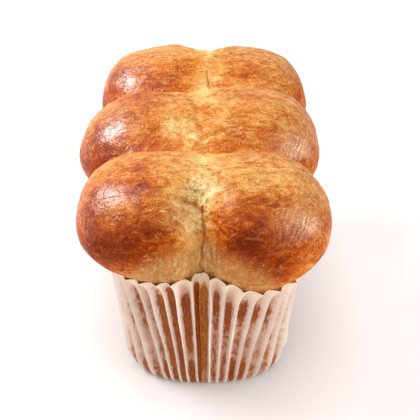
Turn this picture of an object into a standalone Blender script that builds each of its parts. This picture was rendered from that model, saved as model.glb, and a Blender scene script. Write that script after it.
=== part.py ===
"""Brioche loaf of six dough balls, baked two by three in an oblong fluted paper case.

Metres, +Z up. The loaf's long axis is Y, and the case's flat bottom lies on Z = 0.
Two solids: the bread, and the paper case that it fills.
"""

import math

import bmesh
import bpy
import numpy as np
from mathutils import Matrix, Vector, noise
from mathutils.bvhtree import BVHTree

# Crown: six balls of dough that have risen over the case and grown into each other
ROW_PITCH = 0.0618
BALL_HEIGHT = 0.0830
BALL_LENGTH = 0.0320
BALL_RISE = 0.0303
POWERS_ABOVE = (2.3, 2.5, 2.3)
POWERS_BELOW = (1.9, 2.4, 1.8)
ROW_BLEND = 0.010
# Each row: its place along the loaf, how far its pair of balls has run together, and the two
# balls as X offset, Z offset, half-width, extra rise and drop below the widest level
ROWS = (
    (-1, 0.024, (-0.0255, 0.0016, 0.0314, -0.0012, 0.0214), (0.0230, -0.0006, 0.0342, 0.0006, 0.0266)),
    (0, 0.015, (-0.0260, 0.0012, 0.0362, 0.0000, 0.0235), (0.0210, 0.0018, 0.0366, 0.0024, 0.0250)),
    (1, 0.024, (-0.0250, 0.0004, 0.0325, -0.0008, 0.0240), (0.0216, 0.0002, 0.0346, -0.0008, 0.0240)),
)

# Seam where the two balls of a row meet: shallow on top, deep on the two end faces
SEAM_WIDTH = 0.0085
SEAM_DEPTH_TOP = 0.0006
SEAM_DEPTH_END = 0.0060
SEAM_END_START = 0.0640
SEAM_END_LENGTH = 0.0180
SEAM_FOOT = 0.0230
SEAM_FADE = 0.0330

# The case and the dough in it: oblong in plan, with rounded ends, wider at the rim
CASE_HEIGHT = 0.0660
CASE_SIDE_STEP = 0.0007
CASE_HALF_WIDTH = 0.0395
CASE_HALF_LENGTH = 0.0772
CASE_END_DEPTH = 0.0300
CASE_END_POWER = 2.4
CASE_SPREAD_SIDE = 0.0038
CASE_SPREAD_END = 0.0060
DOUGH_TOP = 0.0720
DOUGH_EDGE_ROUND = 0.0060
CROWN_BLEND = 0.0090

# Fluted paper: sharp outer ridges, and broad inner folds that lie on the dough
PLEATS = 59
RIDGE_DEPTH_RIM = 0.0041
RIDGE_DEPTH_BASE = 0.0016
RIDGE_WIDTH = 0.0009
INNER_FOLD_SHARE = 0.36
RIDGE_UNEVENNESS = 0.16
DEPTH_UNEVENNESS = 0.25
PAPER = 0.0005
PAPER_GAP = 0.0005
PAPER_GAP_RIM = 0.0011
PAPER_SEED = 7
TANGENT_STEP = 0.002
# Ridges of the front end: distance along the rim from the middle of the front, and depth
FRONT_RIDGES = (
    (-0.0340, 0.90), (-0.0280, 0.85), (-0.0200, 0.85), (-0.0140, 0.95), (-0.0055, 1.20), (-0.0020, 0.50),
    (0.0015, 1.20), (0.0080, 0.85), (0.0165, 0.85), (0.0240, 0.95), (0.0315, 1.00),
)
# The pleats of the two ends draw together towards the base
GATHER = 0.66
GATHER_HELD = 0.0300
GATHER_FADE = 0.0500
# The rim stops where the crown's bulge would push it out further than this
RIM_HEIGHT = 0.0688
RIM_FLARE_END = 0.0066
RIM_FLARE_SIDE = 0.0030
RIM_TUCK = 0.0020
RIM_STEP = 0.0005
RIM_EASING = 4
PAPER_LEVELS = (0.0, 0.06, 0.50, 0.78, 0.91, 1.0)
FOOT_LEVEL = 0.06
# Ring on the case's floor that its pleats run in to
FLOOR_INSET = 0.0030

# Unevenness of the baked crust
SWELL = 0.0010
SWELL_LENGTH = 0.030
SWELL_FOOT = 0.0330
SWELL_FADE = 0.0330

# Mesh of the bread: rings round a spine, with a half-turn of rings over each end
SPINE_HALF = 0.0560
SPINE_HEIGHT = 0.0560
RING_POINTS = 72
SPINE_RINGS = 33
SPINE_PULL = 0.0042
SPINE_EVEN_FROM = 0.0420
END_RINGS = 11
FARTHEST = 0.1200


def superellipsoid(points, centre, semi_axes, powers):
    """Near the surface, the distance to a rounded block with these half sizes."""
    powers = np.array(powers)
    scaled = np.abs((points - centre) / semi_axes) + 1e-9
    value = (scaled**powers).sum(-1)
    slope = np.sqrt(((powers * scaled ** (powers - 1) / semi_axes) ** 2).sum(-1))
    return (value - 1) / slope


def smooth_union(a, b, blend):
    """The union of two distances, with a fillet about as wide as blend."""
    near = np.maximum(blend - np.abs(a - b), 0) / blend
    return np.minimum(a, b) - near**2 * blend / 4


def smooth_step(value, start, length):
    t = np.clip((value - start) / length, 0, 1)
    return t * t * (3 - 2 * t)


def ball(points, row, offset_x, offset_z, half_width, extra_rise, drop):
    """One ball of dough: taller and fuller above its widest level than below it."""
    centre = np.array((offset_x, row * ROW_PITCH, BALL_HEIGHT + offset_z))
    top_axes = np.array((half_width, BALL_LENGTH, BALL_RISE + extra_rise))
    low_axes = np.array((half_width, BALL_LENGTH, drop))
    top = superellipsoid(points, centre, top_axes, POWERS_ABOVE)
    low = superellipsoid(points, centre, low_axes, POWERS_BELOW)
    return np.where(points[:, 2] > centre[2], top, low)


def oblong(x, y, half_width, half_length, end_depth):
    """Distance in plan to the case's outline: straight sides and superelliptic ends."""
    beyond = np.maximum(np.abs(y) - (half_length - end_depth), 0)
    scaled_x = np.abs(x) / half_width + 1e-9
    scaled_y = beyond / end_depth + 1e-9
    power = CASE_END_POWER
    size = (scaled_x**power + scaled_y**power) ** (1 / power)
    slope_x = scaled_x ** (power - 1) / half_width
    slope_y = scaled_y ** (power - 1) / end_depth
    return (size - 1) / (size ** (1 - power) * np.hypot(slope_x, slope_y))


def dough_in_case(points):
    """The lower part of the loaf, which took the shape of the case."""
    x, y, z = points.T
    share = z / CASE_HEIGHT
    inset = RIDGE_DEPTH_BASE + PAPER + PAPER_GAP
    half_width = CASE_HALF_WIDTH - inset + CASE_SPREAD_SIDE * share
    half_length = CASE_HALF_LENGTH - inset + CASE_SPREAD_END * share
    side = oblong(x - CASE_SIDE_STEP, y, half_width, half_length, CASE_END_DEPTH)
    ends = np.maximum(PAPER + PAPER_GAP - z, z - DOUGH_TOP)
    return -smooth_union(-side, -ends, DOUGH_EDGE_ROUND)


def seam_depth(points):
    """How far the seam between left and right balls pulls the crust in."""
    x, y, z = points.T
    at_end = smooth_step(np.abs(y), SEAM_END_START, SEAM_END_LENGTH)
    above_base = smooth_step(z, SEAM_FOOT, SEAM_FADE)
    depth = SEAM_DEPTH_TOP + (SEAM_DEPTH_END - SEAM_DEPTH_TOP) * at_end * above_base
    return depth * np.exp(-((x / SEAM_WIDTH) ** 2)) * above_base


def loaf(points):
    """Distance to the whole loaf: pairs of balls, joined in rows, on the dough below."""
    crown = None
    for row, blend, left, right in ROWS:
        pair = smooth_union(ball(points, row, *left), ball(points, row, *right), blend)
        crown = pair if crown is None else smooth_union(crown, pair, ROW_BLEND)
    return smooth_union(crown, dough_in_case(points), CROWN_BLEND) + seam_depth(points)


def swell(point):
    """Slow unevenness of the crust, which fades out inside the case."""
    share = min(max((point.z - SWELL_FOOT) / SWELL_FADE, 0), 1)
    return SWELL * share * noise.noise(point / SWELL_LENGTH)


def reach(origins, directions):
    """Where rays that leave the inside of the loaf come out of it, by bisection."""
    inside = np.zeros(len(origins))
    outside = np.full(len(origins), FARTHEST)
    for _ in range(26):
        middle = (inside + outside) / 2
        within = loaf(origins + directions * middle[:, None]) < 0
        inside = np.where(within, middle, inside)
        outside = np.where(within, outside, middle)
    return (inside + outside) / 2


def spine_stations():
    """Positions along the spine, closer together at the creases between the rows."""
    even = np.linspace(-SPINE_HALF, SPINE_HALF, SPINE_RINGS)
    pull = SPINE_PULL * np.sin(2 * math.pi * even / ROW_PITCH)
    fade = 1 - smooth_step(np.abs(even), SPINE_EVEN_FROM, SPINE_HALF - SPINE_EVEN_FROM)
    return even + pull * fade


def ring_rays():
    """Rays for every vertex, ring by ring from the front pole to the back pole."""
    around = np.arange(RING_POINTS) * 2 * math.pi / RING_POINTS
    across = np.stack((np.sin(around), np.zeros(RING_POINTS), np.cos(around)), -1)
    rings = []
    for step in range(1, END_RINGS):
        lean = step / END_RINGS * math.pi / 2
        rings.append((-SPINE_HALF, math.sin(lean), -math.cos(lean)))
    rings += [(y, 1.0, 0.0) for y in spine_stations()]
    for step in range(END_RINGS - 1, 0, -1):
        lean = step / END_RINGS * math.pi / 2
        rings.append((SPINE_HALF, math.sin(lean), math.cos(lean)))
    origins = []
    directions = []
    for y, outward, along in rings:
        origins.append(np.tile((0.0, y, SPINE_HEIGHT), (RING_POINTS, 1)))
        directions.append(across * outward + np.array((0.0, along, 0.0)))
    return np.concatenate(origins), np.concatenate(directions), len(rings)


def link(name, bm, material):
    """Turns a bmesh into a named, smooth-shaded object with its material."""
    bmesh.ops.recalc_face_normals(bm, faces=bm.faces)
    mesh = bpy.data.meshes.new(name)
    bm.to_mesh(mesh)
    bm.free()
    mesh.shade_smooth()
    mesh.materials.append(material)
    part = bpy.data.objects.new(name, mesh)
    bpy.context.scene.collection.objects.link(part)
    return part


def make_material(name, colour, roughness):
    material = bpy.data.materials.new(name)
    material.use_nodes = True
    shader = material.node_tree.nodes["Principled BSDF"]
    shader.inputs["Base Color"].default_value = (*colour, 1.0)
    shader.inputs["Roughness"].default_value = roughness
    shader.inputs["Metallic"].default_value = 0.0
    return material


def make_bread(material):
    origins, directions, rings = ring_rays()
    points = origins + directions * reach(origins, directions)[:, None]
    poles = np.array(((0.0, -SPINE_HALF, SPINE_HEIGHT), (0.0, SPINE_HALF, SPINE_HEIGHT)))
    ways = np.array(((0.0, -1.0, 0.0), (0.0, 1.0, 0.0)))
    tips = poles + ways * reach(poles, ways)[:, None]

    bm = bmesh.new()
    for point, way in zip(points, directions):
        spot = Vector(point)
        bm.verts.new(spot + Vector(way) * swell(spot))
    front, back = (bm.verts.new(tip) for tip in tips)
    bm.verts.ensure_lookup_table()
    for ring in range(rings - 1):
        for step in range(RING_POINTS):
            low = ring * RING_POINTS
            high = low + RING_POINTS
            after = (step + 1) % RING_POINTS
            bm.faces.new([bm.verts[i] for i in (low + step, low + after, high + after, high + step)])
    last = (rings - 1) * RING_POINTS
    for step in range(RING_POINTS):
        after = (step + 1) % RING_POINTS
        bm.faces.new((front, bm.verts[after], bm.verts[step]))
        bm.faces.new((back, bm.verts[last + step], bm.verts[last + after]))
    bmesh.ops.triangulate(bm, faces=bm.faces, quad_method="SHORT_EDGE")
    return link("brioche", bm, material)


def case_outline(height):
    """Corner points of the straight wall's inner face at one height, from the front centre."""
    share = height / CASE_HEIGHT
    half_width = CASE_HALF_WIDTH - RIDGE_DEPTH_BASE + CASE_SPREAD_SIDE * share
    half_length = CASE_HALF_LENGTH - RIDGE_DEPTH_BASE + CASE_SPREAD_END * share
    turns = np.linspace(-math.pi, 0, 181)
    bend = 2 / CASE_END_POWER
    arc_x = half_width * np.sign(np.cos(turns)) * np.abs(np.cos(turns)) ** bend
    arc_y = -(half_length - CASE_END_DEPTH) - CASE_END_DEPTH * np.abs(np.sin(turns)) ** bend
    front = np.stack((arc_x, arc_y), -1)
    return np.concatenate((front[90:], -front, front[:91]))


def along_outline(ring, shares):
    """Points at these shares of the way round a ring of corner points."""
    steps = np.hypot(*np.diff(ring, axis=0).T)
    walked = np.concatenate(((0.0,), np.cumsum(steps)))
    places = (shares % 1) * walked[-1]
    return np.stack((np.interp(places, walked, ring[:, 0]), np.interp(places, walked, ring[:, 1])), -1)


def wall_frame(shares, height):
    """The straight wall's inner points at one height, and the ways out from them."""
    ring = case_outline(height)
    tangent = along_outline(ring, shares + TANGENT_STEP) - along_outline(ring, shares - TANGENT_STEP)
    out = np.stack((tangent[:, 1], -tangent[:, 0]), -1)
    return along_outline(ring, shares) + (CASE_SIDE_STEP, 0.0), out / np.hypot(*out.T)[:, None]


def rim_length():
    return np.hypot(*np.diff(case_outline(CASE_HEIGHT), axis=0).T).sum()


def ridges():
    """Every ridge's distance along the rim from the front centre, and its depth."""
    random = np.random.default_rng(PAPER_SEED)
    length = rim_length()
    free = PLEATS - len(FRONT_RIDGES)
    first = FRONT_RIDGES[-1][0]
    last = FRONT_RIDGES[0][0] + length
    pitch = (last - first) / (free + 1)
    places = [place % length for place, _ in FRONT_RIDGES]
    depths = [depth for _, depth in FRONT_RIDGES]
    for step in range(1, free + 1):
        places.append(first + pitch * (step + RIDGE_UNEVENNESS * random.uniform(-1, 1)))
        depths.append(1 + DEPTH_UNEVENNESS * random.uniform(-1, 1))
    order = np.argsort(places)
    return np.array(places)[order], np.array(depths)[order]


def pleat_columns():
    """Distances along the rim and fold depths of the columns, four to each pleat."""
    places, depths = ridges()
    length = rim_length()
    columns = []
    folds = []
    for index, place in enumerate(places):
        gap = (places[(index + 1) % PLEATS] - place) % length
        fold_start = place + gap * (1 - INNER_FOLD_SHARE) / 2
        fold_end = place + gap * (1 + INNER_FOLD_SHARE) / 2
        columns += [place - RIDGE_WIDTH / 2, place + RIDGE_WIDTH / 2, fold_start, fold_end]
        folds += [depths[index], depths[index], 0.0, 0.0]
    return np.array(columns), np.array(folds)


def gathered(columns, level):
    """Shares of the way round for columns given by their distance along the rim."""
    length = rim_length()
    half = length / 2
    from_end = (columns + half / 2) % half - half / 2
    held = GATHER + (1 - GATHER) * smooth_step(np.abs(from_end), GATHER_HELD, GATHER_FADE)
    pull = from_end * (1 - held) * (1 - level)
    return (columns - pull) / length


def dough_reach(dough, at, out, height):
    """How far the dough stands out past the straight wall at this height, or short of it."""
    start = Vector((*(at + out * FARTHEST / 2), height))
    hit = dough.ray_cast(start, Vector((*(-out), 0.0)), FARTHEST)
    return FARTHEST / 2 - hit[3] if hit[0] else 0.0


def flare_limit(out):
    """The furthest that the crown may push the rim out: more at the ends than at the sides."""
    return RIM_FLARE_SIDE + (RIM_FLARE_END - RIM_FLARE_SIDE) * out[1] ** 2


def rim_height(dough, share):
    """Height at which the crown's bulge would push the rim out too far."""
    height = RIM_HEIGHT
    at, out = wall_frame(share, height)
    while dough_reach(dough, at[0], out[0], height) > flare_limit(out[0]):
        height -= RIM_STEP
        at, out = wall_frame(share, height)
    return height


def eased_round(values):
    """Evens out a closed ring of values, never above what they were."""
    eased = values.copy()
    for _ in range(RIM_EASING):
        eased = np.minimum((np.roll(eased, 1) + 2 * eased + np.roll(eased, -1)) / 4, values)
    return eased


def pleated_wall(dough, columns, folds):
    """Rings of points of the wall's two faces, from the base to the rim."""
    at_rim = gathered(columns, 1.0)
    rim_heights = eased_round(np.array([rim_height(dough, at_rim[i : i + 1]) for i in range(len(columns))]))
    inner = []
    outer = []
    for level in PAPER_LEVELS:
        shares = gathered(columns, level)
        deep = RIDGE_DEPTH_BASE + (RIDGE_DEPTH_RIM - RIDGE_DEPTH_BASE) * level
        gap = PAPER_GAP + (PAPER_GAP_RIM - PAPER_GAP) * level
        inner.append([])
        outer.append([])
        for column in range(len(columns)):
            height = level * rim_heights[column]
            at, out = wall_frame(shares[column : column + 1], height)
            reach_out = 0.0
            if level > FOOT_LEVEL:
                reach_out = gap + max(dough_reach(dough, at[0], out[0], height), -RIM_TUCK * level)
            spot = at[0] + out[0] * (reach_out + folds[column] * deep)
            skin = spot + out[0] * PAPER
            inner[-1].append((*spot, max(height, PAPER)))
            outer[-1].append((*skin, height))
    return inner, outer


def floor_faces(bm, ring, columns, lift):
    """Closes one face of the floor: in from the pleats to a plain ring, then across."""
    fold_middles = (columns[2::4] + columns[3::4]) / 2
    at, out = wall_frame(gathered(fold_middles, 0.0), 0.0)
    plain = [bm.verts.new((*spot, lift)) for spot in at - out * FLOOR_INSET]
    count = len(ring)
    for index, corner in enumerate(plain):
        for step in range(4):
            bm.faces.new((ring[(4 * index + step) % count], ring[(4 * index + step + 1) % count], corner))
        bm.faces.new((ring[(4 * index + 4) % count], plain[(index + 1) % PLEATS], corner))
    # Across the floor from side to side; the last one is a triangle
    for index in range((PLEATS - 1) // 2):
        corners = (plain[index], plain[index + 1], plain[PLEATS - 2 - index], plain[PLEATS - 1 - index])
        bm.faces.new(dict.fromkeys(corners))


def make_case(material, bread):
    columns, folds = pleat_columns()
    bm = bmesh.new()
    bm.from_mesh(bread.data)
    dough = BVHTree.FromBMesh(bm)
    bm.free()
    inner, outer = pleated_wall(dough, columns, folds)

    bm = bmesh.new()
    inner_rows = [[bm.verts.new(point) for point in ring] for ring in inner]
    outer_rows = [[bm.verts.new(point) for point in ring] for ring in outer]
    floor_faces(bm, inner_rows[0], columns, PAPER)
    floor_faces(bm, outer_rows[0], columns, 0.0)
    for rows in (inner_rows, outer_rows, [inner_rows[-1], outer_rows[-1]]):
        for low, high in zip(rows[:-1], rows[1:]):
            for column in range(len(columns)):
                after = (column + 1) % len(columns)
                bm.faces.new((low[column], low[after], high[after], high[column]))
    bmesh.ops.triangulate(bm, faces=bm.faces, quad_method="SHORT_EDGE")
    return link("paper_case", bm, material)


def centre(parts):
    """Moves the meshes so that their common box is centred on the origin in X and Y."""
    corners = [vertex.co for part in parts for vertex in part.data.vertices]
    middle = Vector((0.0, 0.0, 0.0))
    for axis in (0, 1):
        spots = [corner[axis] for corner in corners]
        middle[axis] = (min(spots) + max(spots)) / 2
    for part in parts:
        part.data.transform(Matrix.Translation(-middle))


def main():
    for old in list(bpy.data.objects):
        bpy.data.objects.remove(old, do_unlink=True)
    crust = make_material("golden_crust", (0.60, 0.26, 0.06), 0.4)
    paper = make_material("greaseproof_paper", (0.86, 0.78, 0.68), 0.6)
    bread = make_bread(crust)
    case = make_case(paper, bread)
    centre([bread, case])


main()
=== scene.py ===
"""Brioche loaf in its fluted greaseproof paper case, on a pale studio floor.

Metres, +Z up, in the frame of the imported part. The crust stands for the plain bread and the
thin fluted sheet for the plain paper case.
"""

import math

import bpy
import numpy as np
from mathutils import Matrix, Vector
from mathutils.bvhtree import BVHTree


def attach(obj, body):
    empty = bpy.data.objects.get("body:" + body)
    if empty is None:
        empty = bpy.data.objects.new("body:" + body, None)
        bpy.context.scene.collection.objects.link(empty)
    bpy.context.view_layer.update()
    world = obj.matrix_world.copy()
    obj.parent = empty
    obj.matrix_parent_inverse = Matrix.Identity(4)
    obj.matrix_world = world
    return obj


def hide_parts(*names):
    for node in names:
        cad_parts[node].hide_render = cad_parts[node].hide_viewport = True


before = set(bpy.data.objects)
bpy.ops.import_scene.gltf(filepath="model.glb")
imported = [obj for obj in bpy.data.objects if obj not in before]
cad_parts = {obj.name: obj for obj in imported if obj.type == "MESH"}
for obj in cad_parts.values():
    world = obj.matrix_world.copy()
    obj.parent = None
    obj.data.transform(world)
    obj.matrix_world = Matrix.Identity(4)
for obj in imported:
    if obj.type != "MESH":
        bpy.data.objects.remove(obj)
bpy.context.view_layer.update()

# Where the loaf's parts are
SEAM_X = 0.0023
HALF_ROW = 0.0309
RIM_HEIGHT = 0.0688
TOP_HEIGHT = 0.1171

# Crust mesh and relief
MERGE_DISTANCE = 0.00001
CRUST_LEVELS = 2
LUMP_SIZE = 0.015
LUMP_RELIEF = 0.0014
WRINKLE_SIZE = 0.0042
WRINKLE_RELIEF = 0.00075
PUCKER_SIZE = 0.0030
PUCKER_RELIEF = 0.00080
PUCKER_REACH = 0.016
# The relief starts at the rim, and is full this far above it
RELIEF_FADE = 0.012
FINE_REACH = 0.0032
SKIN_REACH = 0.0050
# A crack that is darker than this inside has its faces split twice
DARK_CRACK = 0.5
# Stretches of the front row's seam whose faces are split once, and once more: half-width, front,
# back and foot
PUCKERED_SEAM = (0.009, -0.100, -0.060, 0.098)
PITTED_SEAM = (0.008, -0.085, -0.055, 0.100)
# How far the cracks stray sideways, and the lengths that this takes up and along the loaf
STRAY = 0.0003
STRAY_LENGTH_UP = 0.0019
STRAY_LENGTH_ALONG = 0.0011
# The lip beside a crack, in shares of the crack's depth and half-width, and the dark inside it
LIP_HEIGHT = 0.4
LIP_DISTANCE = 2.4
LIP_WIDTH = 1.3
DARK_WIDTH = 0.9
# Small pits on the seam of the front row
PIT_SEED = 11
PITS = 36
PITS_FRONT = -0.082
PITS_BACK = -0.058
PITS_FOOT = 0.101
PIT_SCATTER = 0.0042
SMALLEST_PIT = 0.0005
LARGEST_PIT = 0.0009
PIT_DEPTH = 0.3
PIT_DARKNESS = 0.7
# Cracks and folds of the crust: depth, half-width, how dark inside, then the points that they
# run through
CREASES = (
    (0.0007, 0.0005, 0.36, (
        (0.0014, -0.0786, 0.1028), (0.0025, -0.0804, 0.1002),
        (0.0021, -0.0847, 0.0929), (0.0012, -0.0847, 0.0826), (0.0015, -0.0774, 0.0666))),
    (0.0009, 0.0012, 0.2, (
        (-0.0107, -0.0815, 0.1097), (-0.0066, -0.0803, 0.1081), (-0.0025, -0.0791, 0.1048),
        (0.0008, -0.0801, 0.1015))),
    (0.0006, 0.0014, 0.1, (
        (-0.0080, 0.0220, 0.1090), (-0.0047, 0.0032, 0.1143), (-0.0012, -0.0053, 0.1141),
        (-0.0006, -0.0144, 0.1123), (0.0017, -0.0196, 0.1097), (0.0022, -0.0300, 0.1065))),
    (0.0004, 0.0018, 0.0, (
        (-0.0250, -0.0212, 0.1095), (-0.0184, -0.0208, 0.1098), (-0.0100, -0.0204, 0.1096),
        (-0.0044, -0.0209, 0.1088))),
    (0.0004, 0.0018, 0.1, (
        (0.0088, -0.0220, 0.1094), (0.0144, -0.0246, 0.1081), (0.0195, -0.0263, 0.1069))),
    (0.0007, 0.0005, 0.35, (
        (0.0040, 0.0436, 0.1100), (0.0040, 0.0393, 0.1073), (0.0052, 0.0330, 0.1045))),
    (0.0011, 0.0008, 0.8, (
        (0.0024, 0.0700, 0.1090), (0.0018, 0.0760, 0.1045), (0.0028, 0.0830, 0.0950),
        (0.0020, 0.0845, 0.0830), (0.0024, 0.0770, 0.0670))),
)

# Browning of the tops, and how much darker or paler other places are
BROWN_TOPS = 0.36
BROWN_SIDES = 0.24
# Painted shade in the dips between the rows
DIP_SHADE = 0.12
PALE_SEAM = 0.09
PALE_SEAM_TOP = 0.10
PALE_ENDS = 0.20
PALE_RIM = 0.10
# Half-widths of those places
SEAM_WIDTH = 0.0075
DIP_WIDTH = 0.0040
END_WIDTH = 0.017
END_SHIFT = 0.004
RIM_WIDTH = 0.010
STRETCH_WIDTH = 0.010
# Egg wash: the least there is, what the brush left on the tops, and what the pools have besides
LEAST_WASH = 0.02
TOP_WASH = 0.30
SIDE_WASH_RIGHT = 0.6
POOLED_WASH = 0.68
# Unwashed dough at the end, pulled up out of the case: its top at the seam, how much lower that is
# beside it and on its right, and how softly it ends
PULL_TOP = 0.096
PULL_DROP = 0.024
PULL_DROP_RIGHT = 0.003
PULL_HALF_WIDTH = 0.036
PULL_ROUNDNESS = 3.5
PULL_FADE = 0.013
PULL_WEAKER_RIGHT = 0.35
# Patches that browned more or less than the crust round them: place, size and strength
PATCHES = (
    # the broad ones, on all three rows
    ((-0.0300, -0.0930, 0.0870), 0.0130, 0.15), ((-0.0480, -0.0830, 0.0900), 0.0110, 0.16),
    ((0.0210, -0.0930, 0.0870), 0.0140, 0.18), ((0.0080, -0.0900, 0.0830), 0.0090, 0.12),
    ((0.0150, -0.0890, 0.0990), 0.0080, 0.14), ((0.0380, -0.0920, 0.0860), 0.0080, 0.10),
    ((-0.0300, -0.0880, 0.0750), 0.0065, -0.24), ((0.0290, -0.0900, 0.0750), 0.0070, -0.08),
    ((0.0520, -0.0780, 0.0800), 0.0120, -0.14), ((-0.0520, -0.0200, 0.0900), 0.0140, 0.18),
    ((0.0140, -0.0270, 0.1040), 0.0070, 0.08), ((-0.0180, 0.0380, 0.1080), 0.0120, 0.16),
    ((-0.0500, 0.0450, 0.0980), 0.0110, 0.14),
    # along the front row
    ((-0.0258, -0.0770, 0.1112), 0.0085, 0.34), ((-0.0465, -0.0789, 0.1007), 0.0080, 0.18),
    ((-0.0250, -0.0895, 0.1027), 0.0080, 0.18), ((-0.0197, -0.0930, 0.0960), 0.0080, 0.12),
    ((-0.0400, -0.0890, 0.0950), 0.0090, 0.12), ((0.0096, -0.0818, 0.1046), 0.0055, 0.18),
    ((0.0237, -0.0843, 0.1066), 0.0080, 0.30), ((0.0342, -0.0797, 0.1081), 0.0070, 0.18),
    ((0.0290, -0.0902, 0.0991), 0.0060, 0.12), ((-0.0030, -0.0845, 0.0991), 0.0055, -0.24),
    ((-0.0030, -0.0870, 0.0930), 0.0060, -0.24), ((-0.0107, -0.0815, 0.1097), 0.0045, -0.10),
    ((0.0110, -0.0905, 0.0815), 0.0060, -0.20), ((0.0190, -0.0935, 0.0800), 0.0060, -0.20),
    ((0.0328, -0.0910, 0.0740), 0.0060, 0.14),
    # along the middle row
    ((-0.0323, -0.0287, 0.1018), 0.0065, 0.10), ((-0.0411, -0.0253, 0.1010), 0.0065, 0.08),
    ((-0.0230, -0.0310, 0.1030), 0.0060, 0.18), ((-0.0140, -0.0330, 0.1030), 0.0050, 0.10),
    ((0.0032, -0.0303, 0.1022), 0.0045, 0.24), ((0.0109, -0.0320, 0.1030), 0.0050, 0.20),
    ((0.0402, -0.0265, 0.1017), 0.0070, -0.16), ((0.0300, -0.0215, 0.1060), 0.0060, 0.10),
    ((-0.0080, -0.0180, 0.1105), 0.0080, -0.12),
    # along the back row
    ((-0.0061, 0.0477, 0.1121), 0.0080, 0.14), ((0.0267, 0.0445, 0.1101), 0.0110, 0.16),
    ((0.0540, 0.0520, 0.0970), 0.0090, 0.10), ((0.0012, 0.0480, 0.1120), 0.0090, 0.08),
    # under the glossy spots
    ((-0.0400, -0.0720, 0.1040), 0.0100, 0.26), ((-0.0420, -0.0150, 0.1040), 0.0110, 0.30),
    ((-0.0400, 0.0480, 0.1030), 0.0100, 0.30),
    # on the seam and on the tops of the balls
    ((0.0010, -0.0740, 0.1085), 0.0080, -0.16), ((0.0269, -0.0748, 0.1116), 0.0100, -0.15),
    ((-0.0135, -0.0180, 0.1100), 0.0060, -0.14), ((0.0020, -0.0190, 0.1100), 0.0060, 0.18),
    ((-0.0286, 0.0060, 0.1120), 0.0110, 0.26), ((-0.0232, -0.0200, 0.1070), 0.0060, 0.06),
    ((-0.0245, 0.0385, 0.1030), 0.0070, 0.22), ((-0.0440, -0.0080, 0.1020), 0.0080, 0.10),
    ((-0.0440, 0.0550, 0.1000), 0.0080, 0.10),
    # on the middle row, and one on the front
    ((0.0010, -0.0080, 0.1120), 0.0080, 0.20), ((0.0251, 0.0030, 0.1135), 0.0100, 0.12),
    ((0.0225, -0.0915, 0.0945), 0.0090, 0.12), ((0.0341, -0.0265, 0.1030), 0.0070, 0.08),
    ((-0.0229, -0.0250, 0.1050), 0.0060, 0.12),
    # on the front, down towards the rim
    ((-0.0055, -0.0894, 0.0815), 0.0075, -0.12), ((-0.0240, -0.0930, 0.0790), 0.0065, -0.20),
    ((0.0350, -0.0900, 0.0770), 0.0060, 0.12), ((-0.0360, -0.0910, 0.0930), 0.0080, 0.10),
    # small ones on the front and middle rows
    ((-0.0282, -0.0130, 0.1132), 0.0080, 0.15), ((0.0238, -0.0186, 0.1134), 0.0080, 0.09),
    ((-0.0252, -0.0592, 0.1138), 0.0090, 0.10), ((0.0017, -0.0205, 0.1091), 0.0050, 0.06),
    ((-0.0494, -0.0796, 0.0946), 0.0070, -0.12),
)

# Where the egg wash pooled and dried glossy, and where the skin slid into fine ripples: place,
# size and strength
GLOSSY_SPOTS = (
    ((-0.0420, -0.0740, 0.1020), 0.0140, 0.70), ((-0.0420, -0.0120, 0.1030), 0.0155, 1.20),
    ((-0.0400, 0.0500, 0.1010), 0.0140, 1.30), ((0.0430, -0.0850, 0.0980), 0.0110, 0.90),
    ((0.0470, -0.0190, 0.0970), 0.0110, 1.20),
)
RIPPLED_SPOTS = (
    ((0.0435, -0.0850, 0.0985), 0.0085, 1.00), ((0.0350, -0.0895, 0.0945), 0.0055, 0.90),
    ((-0.0345, -0.0935, 0.0880), 0.0050, 0.60), ((0.0450, -0.0200, 0.0980), 0.0080, 1.00),
    ((-0.0440, 0.0300, 0.0950), 0.0080, 0.80), ((0.0480, 0.0700, 0.0950), 0.0080, 0.80),
)

# Paper case: as many pleats as the plain case has, finer in shape
CASE_MIDDLE = (0.00304, -0.00021)
CASE_HEIGHT = 0.0660
BASE_HALF_WIDTH = 0.0379
BASE_HALF_LENGTH = 0.0756
END_DEPTH = 0.0300
END_POWER = 2.4
SPREAD_SIDE = 0.0038
SPREAD_END = 0.0060
# Points round one end of the outline, and the share of it that a direction is taken over
OUTLINE_POINTS = 181
OUTLINE_STEP = 0.002
PLEATS = 59
RIDGE_DEPTH_RIM = 0.0046
RIDGE_DEPTH_BASE = 0.0018
PLEAT_SEED = 7
RIDGE_UNEVENNESS = 0.16
DEPTH_UNEVENNESS = 0.25
# Ridges of the front end: distance along the rim from the middle of the front, and depth
FRONT_RIDGES = (
    (-0.0320, 0.90), (-0.0262, 0.85), (-0.0194, 0.85), (-0.0137, 0.95), (-0.0062, 1.20),
    (-0.0030, 0.25), (0.0023, 1.20), (0.0086, 0.85), (0.0152, 0.85), (0.0226, 0.95), (0.0300, 1.00),
)
# The pleats of the two ends draw together towards the base
GATHER = 0.66
GATHER_HELD = 0.0300
GATHER_FADE = 0.0500
# How far the dough may push the rim out before the rim stops lower, and how far it may lean in
RIM_FLARE_END = 0.0066
RIM_FLARE_SIDE = 0.0030
RIM_TUCK = 0.0040
RIM_STEP = 0.0005
LOWEST_RIM = 0.04
RIM_EASINGS = 14
FARTHEST = 0.1200
# Columns of the sheet between one ridge and the next, closer together at the ridge
PLEAT_STEPS = (0.0, 0.05, 0.12, 0.20, 0.30, 0.40, 0.50, 0.60, 0.70, 0.80, 0.88, 0.95)
# Rings of the sheet, a little closer together at the rim
SHEET_RINGS = 32
RING_SPACING = 0.92
# How sharp the ridges are at the base, and how much of that they lose up to the rim
SHARPNESS = 3.6
SHARPNESS_LOSS = 1.7
# Uneven ridges: how far each leans and winds sideways, and how much its tip stands up at the rim
RIDGE_LEAN = 0.0005
RIDGE_WINDING = 0.0004
WINDING_LENGTH = 0.007
RIDGE_TIP = 0.0007
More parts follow.
